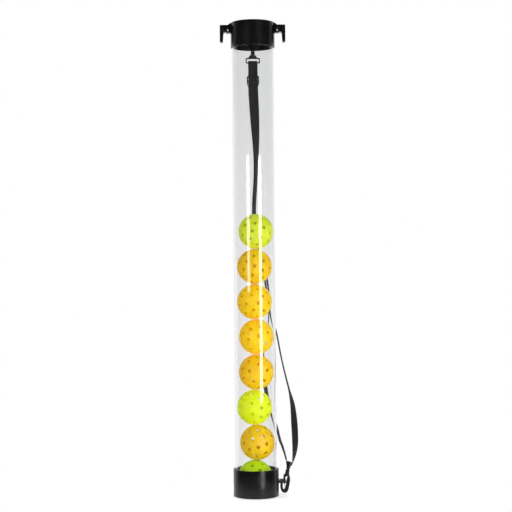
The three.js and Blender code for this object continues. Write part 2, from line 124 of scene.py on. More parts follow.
def from_bmesh(name, bm, material, angle=32):
    bmesh.ops.remove_doubles(bm, verts=bm.verts, dist=WELD)
    bmesh.ops.recalc_face_normals(bm, faces=bm.faces)
    mesh = bpy.data.meshes.new(name)
    bm.to_mesh(mesh)
    bm.free()
    smooth(mesh, angle)
    return new_object(name, mesh, material)


def bake_modifiers(obj):
    """Puts the result of the modifiers into the mesh."""
    graph = bpy.context.evaluated_depsgraph_get()
    mesh = bpy.data.meshes.new_from_object(obj.evaluated_get(graph))
    obj.modifiers.clear()
    obj.data = mesh


def arc(cx, cy, radius, start, end, steps):
    """Points on an arc between two angles in degrees, with both of its ends."""
    points = []
    for i in range(steps + 1):
        angle = math.radians(start + (end - start) * i / steps)
        points.append((cx + radius * math.cos(angle), cy + radius * math.sin(angle)))
    return points


def lathe(name, profile, material, segments=160, closed=True, angle=32):
    """Turns a profile of (radius, z) points round Z. An open profile starts and ends on the axis."""
    bm = bmesh.new()
    rings = []
    for i in range(segments):
        turn = 2 * math.pi * i / segments
        rings.append([bm.verts.new((r * math.cos(turn), r * math.sin(turn), z)) for r, z in profile])
    count = len(profile)
    spans = count if closed else count - 1
    for i in range(segments):
        here, there = rings[i], rings[(i + 1) % segments]
        for k in range(spans):
            n = (k + 1) % count
            bm.faces.new((here[k], there[k], there[n], here[n]))
    bmesh.ops.remove_doubles(bm, verts=bm.verts, dist=WELD)
    bmesh.ops.dissolve_degenerate(bm, edges=bm.edges, dist=1e-7)
    return from_bmesh(name, bm, material, angle)


def rounded_box(left, right, low, high, edge, steps):
    """A rectangle with rounded corners: a ring's section or a slot's outline."""
    return (arc(right - edge, low + edge, edge, -90, 0, steps)
            + arc(right - edge, high - edge, edge, 0, 90, steps)
            + arc(left + edge, high - edge, edge, 90, 180, steps)
            + arc(left + edge, low + edge, edge, 180, 270, steps))


def in_metres(profile):
    """A profile that was given in millimetres."""
    return [(radius * MM, z * MM) for radius, z in profile]


def plate(name, outer, holes, depth, edge, material, place, angle=40, steps=2):
    """A flat piece with rounded edges. The outline is in millimetres, and place sets it in the frame."""
    curve = bpy.data.curves.new(name, "CURVE")
    curve.dimensions = "2D"
    curve.fill_mode = "BOTH"
    curve.extrude = depth / 2 - edge
    curve.bevel_depth = edge
    curve.bevel_resolution = steps
    curve.offset = -edge
    for loop in [outer, *holes]:
        spline = curve.splines.new("POLY")
        spline.points.add(len(loop) - 1)
        for point, (x, y) in zip(spline.points, loop):
            point.co = (x, y, 0, 1)
        spline.use_cyclic_u = True
    shape = bpy.data.objects.new(name, curve)
    SCENE.collection.objects.link(shape)
    graph = bpy.context.evaluated_depsgraph_get()
    mesh = bpy.data.meshes.new_from_object(shape.evaluated_get(graph))
    bpy.data.objects.remove(shape)
    bm = bmesh.new()
    bm.from_mesh(mesh)
    bmesh.ops.remove_doubles(bm, verts=bm.verts, dist=PLATE_WELD)
    bmesh.ops.transform(bm, matrix=place @ Matrix.Scale(MM, 4), verts=bm.verts)
    mesh.materials.clear()
    return from_bmesh(name, bm, material, angle)


def merge(name, objects):
    """Joins objects into the first one, under a new name."""
    bm = bmesh.new()
    for obj in objects:
        obj.data.transform(obj.matrix_world)
        bm.from_mesh(obj.data)
    material = objects[0].data.materials[0]
    for obj in objects:
        bpy.data.objects.remove(obj)
    mesh = bpy.data.meshes.new(name)
    bm.to_mesh(mesh)
    bm.free()
    return new_object(name, mesh, material)


def basis(x, y, z, origin=(0, 0, 0)):
    """A matrix whose columns are the given directions, placed at origin (in metres)."""
    matrix = Matrix((x, y, z)).transposed().to_4x4()
    matrix.translation = Vector(origin)
    return matrix


def in_xz(origin=(0, 0, 0)):
    """Stands a plate up, with its outline along X and Z and its depth along Y."""
    return basis((1, 0, 0), (0, 0, 1), (0, 1, 0), origin)


def in_yz(origin=(0, 0, 0)):
    """Stands a plate up, with its outline along Y and Z and its depth along X."""
    return basis((0, 1, 0), (0, 0, 1), (1, 0, 0), origin)


# ---- materials ----
class Nodes:
    """A short way to write a node material."""

    def __init__(self, name):
        self.material = bpy.data.materials.new(name)
        self.material.use_nodes = True
        self.tree = self.material.node_tree
        self.shader = self.tree.nodes["Principled BSDF"]
        self.output = self.tree.nodes["Material Output"]

    def add(self, kind, **settings):
        node = self.tree.nodes.new(f"ShaderNode{kind}")
        for key, value in settings.items():
            setattr(node, key, value)
        return node

    def link(self, source, target):
        self.tree.links.new(source, target)

    def coordinates(self, output="Object", scale=(1, 1, 1)):
        source = self.add("TexCoord")
        mapping = self.add("Mapping")
        mapping.inputs["Scale"].default_value = scale
        self.link(source.outputs[output], mapping.inputs["Vector"])
        return mapping.outputs["Vector"]

    def noise(self, vector, scale, detail=3, roughness=0.55):
        node = self.add("TexNoise")
        node.inputs["Scale"].default_value = scale
        node.inputs["Detail"].default_value = detail
        node.inputs["Roughness"].default_value = roughness
        self.link(vector, node.inputs["Vector"])
        return node.outputs["Fac"]

    def spread(self, value, low, high, from_low=0.3, from_high=0.7):
        node = self.add("MapRange")
        node.inputs["From Min"].default_value = from_low
        node.inputs["From Max"].default_value = from_high
        node.inputs["To Min"].default_value = low
        node.inputs["To Max"].default_value = high
        self.link(value, node.inputs["Value"])
        return node.outputs["Result"]

    def mix(self, factor, first, second):
        node = self.add("Mix", data_type="RGBA")
        self.link(factor, node.inputs["Factor"])
        for socket, value in (("A", first), ("B", second)):
            target = [s for s in node.inputs if s.name == socket and s.type == "RGBA"][0]
            if isinstance(value, tuple):
                target.default_value = (*value, 1)
            else:
                self.link(value, target)
        return [s for s in node.outputs if s.type == "RGBA"][0]

    def bump(self, height, strength, distance, below=None):
        node = self.add("Bump")
        node.inputs["Strength"].default_value = strength
        node.inputs["Distance"].default_value = distance
        self.link(height, node.inputs["Height"])
        if below is not None:
            self.link(below, node.inputs["Normal"])
        return node.outputs["Normal"]

    def edges(self, low=0.52, high=0.6):
        """1 on outer edges, where the surface wears."""
        geometry = self.add("NewGeometry")
        return self.spread(geometry.outputs["Pointiness"], 0, 1, low, high)


def linear(r, g, b):
    """An sRGB colour, from 0 to 255, as linear light."""
    def channel(value):
        value /= 255
        return value / 12.92 if value <= 0.04045 else ((value + 0.055) / 1.055) ** 2.4
    return (channel(r), channel(g), channel(b))


def black_plastic(name, shade=(7, 7, 8), roughness=0.25):
    """Satin moulded plastic with a fine spark-eroded grain, paler on its worn edges."""
    n = Nodes(name)
    place = n.coordinates()
    cloud = n.noise(place, scale=38, detail=4)
    base = n.mix(n.spread(cloud, 0, 1), linear(*shade), linear(*(value + 6 for value in shade)))
    worn = n.mix(n.edges(), base, linear(52, 52, 54))
    n.link(worn, n.shader.inputs["Base Color"])
    n.link(n.spread(cloud, roughness - 0.04, roughness + 0.09), n.shader.inputs["Roughness"])
    grain = n.noise(place, scale=2600, detail=2)
    n.link(n.bump(grain, strength=0.22, distance=0.00012), n.shader.inputs["Normal"])
    n.shader.inputs["Specular IOR Level"].default_value = 0.35
    return n.material


def clear_plastic(name):
    """Clear extruded plastic: a faint grey body, darker up top as painted shade, long draw lines and a few
    handling scuffs.
    """
    n = Nodes(name)
    height = n.add("SeparateXYZ")
    n.link(n.coordinates(), height.inputs["Vector"])
    # Painted shade: the grey tint deepens from halfway up to the top, for the dimmer upper part of the tube.
    haze = n.mix(n.spread(height.outputs["Z"], 0, 1, 0.45, 0.9), (0.94, 0.94, 0.945), (0.88, 0.885, 0.885))
    n.link(haze, n.shader.inputs["Base Color"])
    n.shader.inputs["Transmission Weight"].default_value = 1
    n.shader.inputs["IOR"].default_value = 1.45
    draw_lines = n.noise(n.coordinates(scale=(1, 1, 0.004)), scale=900, detail=2)
    scuffs = n.noise(n.coordinates(scale=(1, 1, 0.25)), scale=120, detail=5, roughness=0.7)
    n.link(n.spread(scuffs, 0.015, 0.07, 0.45, 0.8), n.shader.inputs["Roughness"])
    n.link(n.bump(draw_lines, strength=0.05, distance=0.00003), n.shader.inputs["Normal"])
    clear = n.add("BsdfTransparent")
    clear.inputs["Color"].default_value = (0.94, 0.94, 0.94, 1)
    path = n.add("LightPath")
    either = n.add("MixShader")
    n.link(path.outputs["Is Shadow Ray"], either.inputs["Fac"])
    n.link(n.shader.outputs["BSDF"], either.inputs[1])
    n.link(clear.outputs["BSDF"], either.inputs[2])
    n.link(either.outputs["Shader"], n.output.inputs["Surface"])
    return n.material


def ball_plastic(name, colour, deep, glow, roughness=0.42):
    """Moulded fluorescent plastic that lets some light through, scuffed by play, with a painted glow of its
    own colour.
    """
    n = Nodes(name)
    place = n.coordinates()
    cloud = n.noise(place, scale=55, detail=4)
    base = n.mix(n.spread(cloud, 0, 0.55), linear(*colour), linear(*deep))
    scuff = n.spread(n.noise(place, scale=260, detail=6, roughness=0.7), 0, 0.35, 0.6, 0.78)
    marked = n.mix(scuff, base, linear(*(int(0.8 * value) for value in deep)))
    n.link(marked, n.shader.inputs["Base Color"])
    n.link(n.spread(cloud, roughness - 0.06, roughness + 0.12), n.shader.inputs["Roughness"])
    n.shader.inputs["Subsurface Weight"].default_value = 0.6
    n.shader.inputs["Subsurface Radius"].default_value = (1.0, 0.75, 0.1)
    n.shader.inputs["Subsurface Scale"].default_value = 0.007
    n.shader.inputs["Specular IOR Level"].default_value = 0.3
    # Painted glow: the ball gives off its own colour as light, so it looks brighter than its lighting makes
    # it.
    n.link(base, n.shader.inputs["Emission Color"])
    n.shader.inputs["Emission Strength"].default_value = glow
    dimples = n.noise(place, scale=900, detail=3)
    n.link(n.bump(dimples, strength=0.18, distance=0.0002), n.shader.inputs["Normal"])
    return n.material


def dark_metal(name):
    """Die-cast metal under a dark satin coat, rubbed bright along its edges."""
    n = Nodes(name)
    place = n.coordinates()
    cloud = n.noise(place, scale=140, detail=4)
    base = n.mix(n.spread(cloud, 0, 1), linear(26, 26, 28), linear(42, 42, 45))
    rubbed = n.spread(n.noise(place, scale=420, detail=3), 0.2, 1, 0.35, 0.6)
    edge = n.add("Math", operation="MULTIPLY")
    n.link(n.edges(0.53, 0.62), edge.inputs[0])
    n.link(rubbed, edge.inputs[1])
    n.link(n.mix(edge.outputs[0], base, linear(105, 105, 108)), n.shader.inputs["Base Color"])
    n.shader.inputs["Metallic"].default_value = 0.75
    n.link(n.spread(cloud, 0.3, 0.46), n.shader.inputs["Roughness"])
    grain = n.noise(place, scale=1500, detail=2)
    n.link(n.bump(grain, strength=0.2, distance=0.0001), n.shader.inputs["Normal"])
    return n.material


def webbing(name, shade=(7, 7, 8), pitch=1.25):
    """Flat woven webbing. Its UV runs across and along the band, both in millimetres."""
    n = Nodes(name)
    place = n.coordinates("UV")
    split = n.add("SeparateXYZ")
    n.link(place, split.inputs["Vector"])

    def wave(value, length, shift=0.0):
        scaled = n.add("Math", operation="MULTIPLY_ADD")
        scaled.inputs[1].default_value = 2 * math.pi / length
        scaled.inputs[2].default_value = shift
        n.link(value, scaled.inputs[0])
        sine = n.add("Math", operation="SINE")
        n.link(scaled.outputs[0], sine.inputs[0])
        return sine.outputs[0]

    def times(first, second):
        node = n.add("Math", operation="MULTIPLY")
        n.link(first, node.inputs[0])
        n.link(second, node.inputs[1])
        return node.outputs[0]

    warp = wave(split.outputs["X"], pitch)
    weft = wave(split.outputs["Y"], pitch * 1.5)
    weave = times(warp, weft)
    fuzz = n.noise(place, scale=3.0, detail=4, roughness=0.7)
    height = n.spread(weave, 0, 1, -1, 1)
    shadow = n.mix(height, linear(*(int(0.45 * v) for v in shade)), linear(*(v + 6 for v in shade)))
    faded = n.mix(n.spread(fuzz, 0, 0.4), shadow, linear(22, 22, 24))
    n.link(faded, n.shader.inputs["Base Color"])
    n.shader.inputs["Roughness"].default_value = 0.82
    n.shader.inputs["Sheen Weight"].default_value = 0.05
    n.shader.inputs["Sheen Roughness"].default_value = 0.4
    yarn = n.bump(height, strength=0.6, distance=0.00025)
    n.link(n.bump(fuzz, strength=0.25, distance=0.0001, below=yarn), n.shader.inputs["Normal"])
    return n.material


def thread(name):
    """Dull black sewing thread, a little paler than the webbing."""
    n = Nodes(name)
    place = n.coordinates()
    twist = n.noise(place, scale=2400, detail=3)
    colour = n.mix(n.spread(twist, 0, 1), linear(20, 20, 21), linear(48, 48, 50))
    n.link(colour, n.shader.inputs["Base Color"])
    n.shader.inputs["Roughness"].default_value = 0.6
    n.link(n.bump(twist, strength=0.4, distance=0.0001), n.shader.inputs["Normal"])
    return n.material


CAP = black_plastic("cap_plastic")
FLEX = black_plastic("finger_plastic", shade=(18, 18, 19), roughness=0.42)
CLEAR = clear_plastic("tube_plastic")
METAL = dark_metal("snap_metal")
WEB = webbing("strap_webbing")
THREAD = thread("strap_thread")


# ---- strap ----
STRAP_WIDTH = 21
STRAP_THICKNESS = 1.3

# Each station is a point in millimetres and the band's twist, from +X towards +Y, in degrees.
MAIN_RUN = [
    (0, 60.8, 907, 0), (0.6, 60.8, 872, 0), (2, 60.8, 838, 4), (4, 60.8, 800, 24), (6.4, 60, 757, 52),
    (6.8, 59.5, 714, 68), (5.2, 59, 671, 75), (2.3, 58.5, 627, 75), (1.4, 58, 600, 75), (6, 56, 560, 76),
    (17, 52.5, 505, 79), (29.7, 49, 446, 79), (35.5, 46, 380, 79), (45.6, 38, 342, 83), (54.8, 30, 293, 84),
    (62.6, 25, 257, 84), (71.3, 20, 222, 82), (78.3, 15, 190, 63), (82, 10, 146, 50), (83, 5, 116.6, 52),
    (82.4, 1.4, 100, 58), (80.8, 0.3, 86, 67), (78.2, 0, 72.4, 80),
]
RETURN_RUN = [
    (0, 68.2, 864, 0), (1.2, 68.2, 838, 4), (3, 66.4, 800, 24), (3.9, 62.6, 757, 52),
    (4.2, 61, 714, 68), (2.5, 60.3, 671, 75), (-0.6, 59.8, 627, 75), (-1.3, 59.6, 600, 75), (1, 58, 560, 77),
    (11, 54, 505, 78), (24.5, 51.5, 446, 80), (28.8, 51, 410, 84), (31.5, 51, 380, 84), (27, 51.3, 342, 85),
    (18.8, 51.8, 300, 84), (19, 51.8, 255, 70), (23.5, 51.5, 218, 66), (34.7, 43.5, 170, 78),
    (44.2, 32, 141, 78), (51.2, 19, 114.5, 80), (55.8, 7, 102, 82), (60.2, 0.5, 89, 83), (64.1, 0, 74.8, 85),
]
# The turn round the lower eye's bar, in the lower snap hook's own axes.
BOTTOM_LOOP = [
    (8.3, 0, 70, 80), (7.8, 0, 65, 86), (5, 0, 60, 90), (0, 0, 58.2, 90), (-3.8, 0, 60.4, 90),
    (-4.9, 0, 65, 90), (-6, 0, 70, 86),
]


def spline(stations, along):
    """A centripetal Catmull-Rom curve through vectors, at a place from 0 to 1."""
    last = len(stations) - 1
    at = along * last
    i = min(int(at), last - 1)
    t = at - i
    p1, p2 = stations[i], stations[i + 1]
    p0 = stations[i - 1] if i > 0 else p1 * 2 - p2
    p3 = stations[i + 2] if i + 2 <= last else p2 * 2 - p1
    d1 = (p2 - p1).length ** 0.5 or 1.0
    d0 = (p1 - p0).length ** 0.5 or d1
    d2 = (p3 - p2).length ** 0.5 or d1
    m1 = ((p1 - p0) / d0 - (p2 - p0) / (d0 + d1) + (p2 - p1) / d1) * d1
    m2 = ((p2 - p1) / d1 - (p3 - p1) / (d1 + d2) + (p3 - p2) / d2) * d1
    return (p1 + m1 * t + (p1 * -3 + p2 * 3 - m1 * 2 - m2) * t ** 2
            + (p1 * 2 - p2 * 2 + m1 + m2) * t ** 3)


def band_section():
    """Half-round edges on a flat band, as (across, out) points with the across distance round it."""
    half, t = STRAP_WIDTH / 2, STRAP_THICKNESS / 2
    right = arc(half - t, 0, t, -90, 90, 4)
    left = arc(t - half, 0, t, 90, 270, 4)
    flat = [half - t - (STRAP_WIDTH - 2 * t) * k / 4 for k in (1, 2, 3)]
    return right + [(x, t) for x in flat] + left + [(-x, -t) for x in flat]


def band_line(stations, steps):
    """Evenly spaced places along a band: (point, width direction, tangent, distance)."""
    samples = 4000
    nudge = 5e-4
    points = [Vector(s[:3]) for s in stations]
    twists = [Vector((s[3], 0, 0)) for s in stations]
    fine = [spline(points, i / samples) for i in range(samples + 1)]
    reach = [0.0]
    for a, b in zip(fine, fine[1:]):
        reach.append(reach[-1] + (b - a).length)
    line = []
    k = 0
    for i in range(steps + 1):
        goal = reach[-1] * i / steps
        while k < samples - 1 and reach[k + 1] < goal:
            k += 1
        step = reach[k + 1] - reach[k]
        along = (k + (goal - reach[k]) / step) / samples
        twist = math.radians(spline(twists, along).x)
        ahead = spline(points, min(1, along + nudge))
        behind = spline(points, max(0, along - nudge))
        tangent = (ahead - behind).normalized()
        width = Vector((math.cos(twist), math.sin(twist), 0))
        width = (width - tangent * width.dot(tangent)).normalized()
        line.append((spline(points, along), width, tangent, goal))
    return line


def band(name, stations, steps, place=Matrix()):
    """A woven band with its UV in millimetres. Returns the piece and its centreline in metres."""
    line = band_line(stations, steps)
    section = band_section()
    bm = bmesh.new()
    uv = bm.loops.layers.uv.new("weave")
    rows = []
    for point, width, tangent, _ in line:
        face = width.cross(tangent)
        rows.append([bm.verts.new(place @ ((point + width * a + face * o) * MM)) for a, o in section])
    count = len(section)
    for i in range(steps):
        for k in range(count):
            n = (k + 1) % count
            quad = bm.faces.new((rows[i][k], rows[i][n], rows[i + 1][n], rows[i + 1][k]))
            here, there = section[k][0], section[n][0]
            corners = ((here, i), (there, i), (there, i + 1), (here, i + 1))
            for loop, (across, row) in zip(quad.loops, corners):
                loop[uv].uv = (across, line[row][3])
    bm.faces.new(reversed(rows[0]))
    bm.faces.new(rows[-1])
    piece = from_bmesh(name, bm, WEB, angle=50)
    return piece, [tuple(place @ (point * MM)) for point, _, _, _ in line]


def strap_run(name, stations, steps, node):
    """A long run of the strap, in place of its CAD node, which is hidden."""
    piece, path = band(name, stations, steps)
    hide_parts(node)
    return piece, path


make_camera()
main_piece, main_path = strap_run("strap_webbing_main", MAIN_RUN, 260, "strap_main_run")
return_piece, return_path = strap_run("strap_webbing_return", RETURN_RUN, 240, "strap_return_run")


# ---- tube and caps ----
def tube():
    edge = 0.4 * MM
    profile = rounded_box(TUBE_RADIUS - TUBE_WALL, TUBE_RADIUS, tube_low.z, tube_high.z, edge, 2)
    piece = lathe("tube_wall", profile, CLEAR, segments=192)
    stand_for(piece, "tube", "root")


def foot_cap():
    """The open cap, with a lip inside that the tube stands on."""
    mouth = 41 * MM
    lead_in = 1.5 * MM
    socket = TUBE_RADIUS + GAP
    lip = 8 * MM
    lip_chamfer = 0.6 * MM
    edge = 2.5 * MM
    rim_outside = 1.2 * MM
    rim_inside = 0.8 * MM
    top = foot_high.z
    profile = arc(FOOT_RADIUS - edge, edge, edge, -90, 0, 8)
    profile += arc(FOOT_RADIUS - rim_outside, top - rim_outside, rim_outside, 0, 90, 4)
    profile += arc(socket + rim_inside, top - rim_inside, rim_inside, 90, 180, 3)
    profile += [(socket, lip), (mouth + lip_chamfer, lip), (mouth, lip - lip_chamfer)]
    profile += arc(mouth + lead_in, lead_in, lead_in, 180, 270, 4)
    piece = lathe("foot_cap_shell", profile, CAP)
    stand_for(piece, "bottom_cap", "root")


def retainer_ring():
    inside = TUBE_RADIUS - 1.8 * MM
    profile = rounded_box(inside, ring_high.x, ring_low.z, ring_high.z, 0.3 * MM, 2)
    piece = lathe("retainer_ring_band", profile, FLEX)
    stand_for(piece, "retainer_ring", "root")


def fingers():
    """Six leaves round the mouth. Each leans in from its hinge, by 3.7 mm in 13.5 mm of height."""
    count = 6
    thickness = 1.5
    hinge_radius, hinge_z = 39.5 * MM, 10.5 * MM
    lean = math.atan2(3.7, 13.5)
    leaf = [(-7.5, 0), (7.5, 0), (6.4, 7)]
    leaf += arc(3.3, 11.2, 2.8, 0, 90, 5)
    leaf += arc(-3.3, 11.2, 2.8, 90, 180, 5)
    leaf += [(-6.4, 7)]
    hinge = Matrix.Translation((hinge_radius, 0, hinge_z)) @ Matrix.Rotation(-lean, 4, "Y")
    across = in_yz((thickness / 2 * MM, 0, 0))
    for i in range(count):
        turn = Matrix.Rotation(2 * math.pi * i / count, 4, "Z")
        finger = plate(f"finger_leaf_{i + 1}", leaf, [], thickness, 0.4, FLEX, turn @ hinge @ across)
        stand_for(finger, f"retainer_finger_{i + 1}", f"finger_{i + 1}")


def top_cap():
    """The closed cap over the tube's upper end."""
    socket = TUBE_RADIUS + GAP
    ceiling = top_high.z - 3 * MM
    edge = 3.5 * MM
    low, high = top_low.z, top_high.z
    lip = 0.8 * MM
    profile = [(0, ceiling), (socket, ceiling)]
    profile += arc(socket + lip / 2, low + lip / 2, lip / 2, 180, 270, 3)
    profile += arc(TOP_RADIUS - lip, low + lip, lip, -90, 0, 3)
    profile += arc(TOP_RADIUS - edge, high - edge, edge, 0, 90, 8)
    profile += [(0, high)]
    piece = lathe("top_cap_shell", profile, CAP, closed=False)
    stand_for(piece, "top_cap", "root")


def hanging_hook(side, word):
    """A moulded arm with a boss, a sloping gusset and a hook whose faces are grooved."""
    reach = top_high.x / MM
    top = top_high.z / MM - 5.6
    seat = 977.7
    tip = 958.2
    wall = TOP_RADIUS / MM - 1.3
    breadth = 17
    groove_depth = 2.4
    outer = [(wall, 999.2), (47.6, 998.1), (52.2, top)]
    outer += arc(reach - 2, top - 2, 2, 90, 0, 5)
    outer += arc(reach - 1.6, tip + 1.6, 1.6, 0, -90, 4)
    outer += arc(64.3, tip + 1.6, 1.6, 270, 190, 4)
    outer += [(61.6, 976.4), (60.6, 978.6), (59.2, 979.4), (57.6, 979.2)]
    outer += arc(52.2, 984, 6.6, -50, -130, 8)
    outer += arc(wall + 2.4, seat - 2.2, 1.6, 90, 180, 4) + [(wall, seat - 2.4)]
    hole = arc(52.2, 983.2, 1.9, 0, 345, 23)
    place = basis((side, 0, 0), (0, 0, 1), (0, 1, 0))
    blank = plate(f"hanging_hook_{word}", outer, [hole], breadth, 0.8, CAP, place)
    groove = [(64.6, 961), (66.6, 961), (66.6, 989.5), (64.6, 989.5)]
    pocket = [(57.6, 980.4), (61.4, 984.2), (61.4, 990.6), (54.6, 990.6)]
    for cutter_shape in (groove, pocket):
        for face in (-1, 1):
            shift = Matrix.Translation((0, face * breadth / 2 * MM, 0))
            cutter = plate("cutter", cutter_shape, [], groove_depth, 0.3, CAP, shift @ place)
            cut = blank.modifiers.new("cut", "BOOLEAN")
            cut.operation = "DIFFERENCE"
            cut.solver = "EXACT"
            cut.object = cutter
            bake_modifiers(blank)
            bpy.data.objects.remove(cutter)
    smooth(blank.data, 30)
    stand_for(blank, "top_cap", "root")


def strap_anchor(name, node, cap_radius, centre_z, bar, turn):
    """The moulded loop that a snap hook clips to. bar is how far out its bar is."""
    seat = cap_radius / MM - 0.4
    half = 11
    corner = 3.5
    spread = math.degrees(math.asin(half / seat))
    outer = arc(0, 0, seat, -spread, spread, 8)[::-1]
    rim = bar + 1.3
    outer += arc(rim - corner, -half + corner, corner, -90, 0, 5)
    outer += arc(rim - corner, half - corner, corner, 0, 90, 5)
    hole = arc(bar - 3.3, -5, 2, 270, 360, 4) + arc(bar - 3.3, 5, 2, 0, 90, 4)
    hole += [(seat + 3.8, 7), (seat + 3.4, 6.4), (seat + 3.4, -6.4), (seat + 3.8, -7)]
    place = Matrix.Rotation(turn, 4, "Z") @ Matrix.Translation((0, 0, centre_z * MM))
    piece = plate(name, outer, [hole], 6.5, 0.9, CAP, place)
    stand_for(piece, node, "root")
    return piece


tube()
foot_cap()
retainer_ring()
fingers()
top_cap()
hanging_hook(1, "right")
hanging_hook(-1, "left")
# Each anchor's height, and how far its bar is from the axis, in millimetres.
TOP_ANCHOR_Z = 977
TOP_BAR = 60.8
FOOT_ANCHOR_Z = 30.7
FOOT_BAR = 61.7
anchor_top = strap_anchor("anchor_loop_top", "strap_anchor_top", TOP_RADIUS, TOP_ANCHOR_Z, TOP_BAR,
                          math.pi / 2)
anchor_foot = strap_anchor("anchor_loop_foot", "strap_anchor_bottom", FOOT_RADIUS, FOOT_ANCHOR_Z, FOOT_BAR,
                           0)


# ---- balls ----
# From the top down: each ball's colour, its deeper colour, how strong its painted glow is, a material name
# that nothing reads, and how it lies, in degrees.
BALLS = [
    ((220, 234, 52), (208, 222, 30), 0.09, "ball_lime", (-146, 11, 63)),
    ((250, 202, 2), (244, 184, 0), 0.08, "ball_yellow", (-168, 38, -32)),
    ((250, 206, 2), (246, 196, 0), 0.12, "ball_amber", (-6, -50, -163)),
    ((252, 208, 4), (248, 190, 0), 0.14, "ball_yellow", (141, -57, -46)),
    ((250, 200, 0), (246, 182, 0), 0.11, "ball_amber", (-89, 25, 8)),
    ((220, 238, 10), (210, 230, 4), 0.15, "ball_neon", (88, 31, 144)),
    ((246, 200, 2), (236, 172, 0), 0.07, "ball_yellow", (-162, 21, 169)),
    ((180, 218, 0), (164, 204, 0), 0.15, "ball_green", (-20, 19, -27)),
]

# Rings of holes about the ball's axis: polar angle, number of holes and where the first one is, in degrees.
# The corners of a divided icosahedron, with the rings above the middle one turned by 9 degrees and those
# below it by -9.
HOLE_RINGS = [
    (31.7, 5, 9), (58.3, 5, 45), (63.4, 5, 9), (90, 10, 18),
    (116.6, 5, 27), (121.7, 5, -9), (148.3, 5, 27),
]


def hole_directions():
    """Forty directions, spread nearly evenly but for the two undrilled ends of the axis."""
    holes = []
    for polar, count, first in HOLE_RINGS:
        for k in range(count):
            turn = Matrix.Rotation(math.radians(first + 360 * k / count), 3, "Z")
            holes.append(turn @ Matrix.Rotation(math.radians(polar), 3, "Y") @ Vector((0, 0, 1)))
    return holes


def on_cone(direction, angle, count):
    """Points round a direction, at an angle from it, on the unit sphere."""
    turn = direction.to_track_quat("Z", "Y")
    return [turn @ Vector((math.sin(angle) * math.cos(a), math.sin(angle) * math.sin(a), math.cos(angle)))
            for a in (2 * math.pi * k / count for k in range(count))]


def ball_mesh():
    """A thin round shell with forty holes. It is the hull of rings of points round each hole."""
    holes = hole_directions()
    rim = math.asin(HOLE_RADIUS / BALL_RADIUS)
    collar = rim * 1.7
    pole_ring = rim * 1.6
    slack = 1e-4
    bm = bmesh.new()
    for direction in holes:
        for angle in (rim, collar):
            for point in on_cone(direction, angle, 12):
                bm.verts.new(point)
    for pole in (Vector((0, 0, 1)), Vector((0, 0, -1))):
        bm.verts.new(pole)
        for point in on_cone(pole, pole_ring, 8):
            bm.verts.new(point)
    bmesh.ops.convex_hull(bm, input=bm.verts)
    inside = math.cos(rim) - slack

    def in_hole(face):
        return any(all(v.co.normalized().dot(d) > inside for v in face.verts) for d in holes)

    bmesh.ops.delete(bm, geom=[f for f in bm.faces if in_hole(f)], context="FACES")
    bmesh.ops.subdivide_edges(bm, edges=bm.edges, cuts=1, use_grid_fill=True)
    for vert in bm.verts:
        direction = vert.co.normalized()
        if vert.is_boundary:
            middle = max(holes, key=direction.dot)
            side = (direction - middle * direction.dot(middle)).normalized()
            direction = middle * math.cos(rim) + side * math.sin(rim)
        vert.co = direction * BALL_RADIUS
    bmesh.ops.recalc_face_normals(bm, faces=bm.faces)
    mesh = bpy.data.meshes.new("ball_shell")
    bm.to_mesh(mesh)
    bm.free()
    ball = new_object("ball_shell", mesh)
    shell = ball.modifiers.new("shell", "SOLIDIFY")
    shell.thickness = BALL_WALL
    shell.offset = -1
    rounding = ball.modifiers.new("rim", "BEVEL")
    rounding.width = 0.4 * MM
    rounding.segments = 2
    rounding.limit_method = "ANGLE"
    rounding.angle_limit = math.radians(55)
    bake_modifiers(ball)
    mesh = ball.data
    bpy.data.objects.remove(ball)
    smooth(mesh, 60)
    return mesh


def balls():
    shell = ball_mesh()
    for number, (colour, deep, glow, finish, lies) in enumerate(BALLS, 1):
        low, high = size_of(f"ball_{number}")
        mesh = shell.copy()
        mesh.transform(Euler([math.radians(angle) for angle in lies]).to_matrix().to_4x4())
        plastic = ball_plastic(f"ball_plastic_{number}", colour, deep, glow)
        ball = new_object(f"pickleball_{number}", mesh, plastic)
        ball.location = (low + high) / 2
        stand_for(ball, f"ball_{number}", f"ball_{number}")


balls()


# ---- snap hooks ----
# Their own axes, in millimetres: X across the hook, Y through it, Z from its bend to its eye.
PIVOT = (-4.6, 35.6)


def rounded_outline(points, cuts=3):
    """An open outline with a smooth curve through its points."""
    stations = [Vector((x, y, 0)) for x, y in points]
    count = (len(points) - 1) * cuts
    return [tuple(spline(stations, i / count).xy) for i in range(count + 1)]


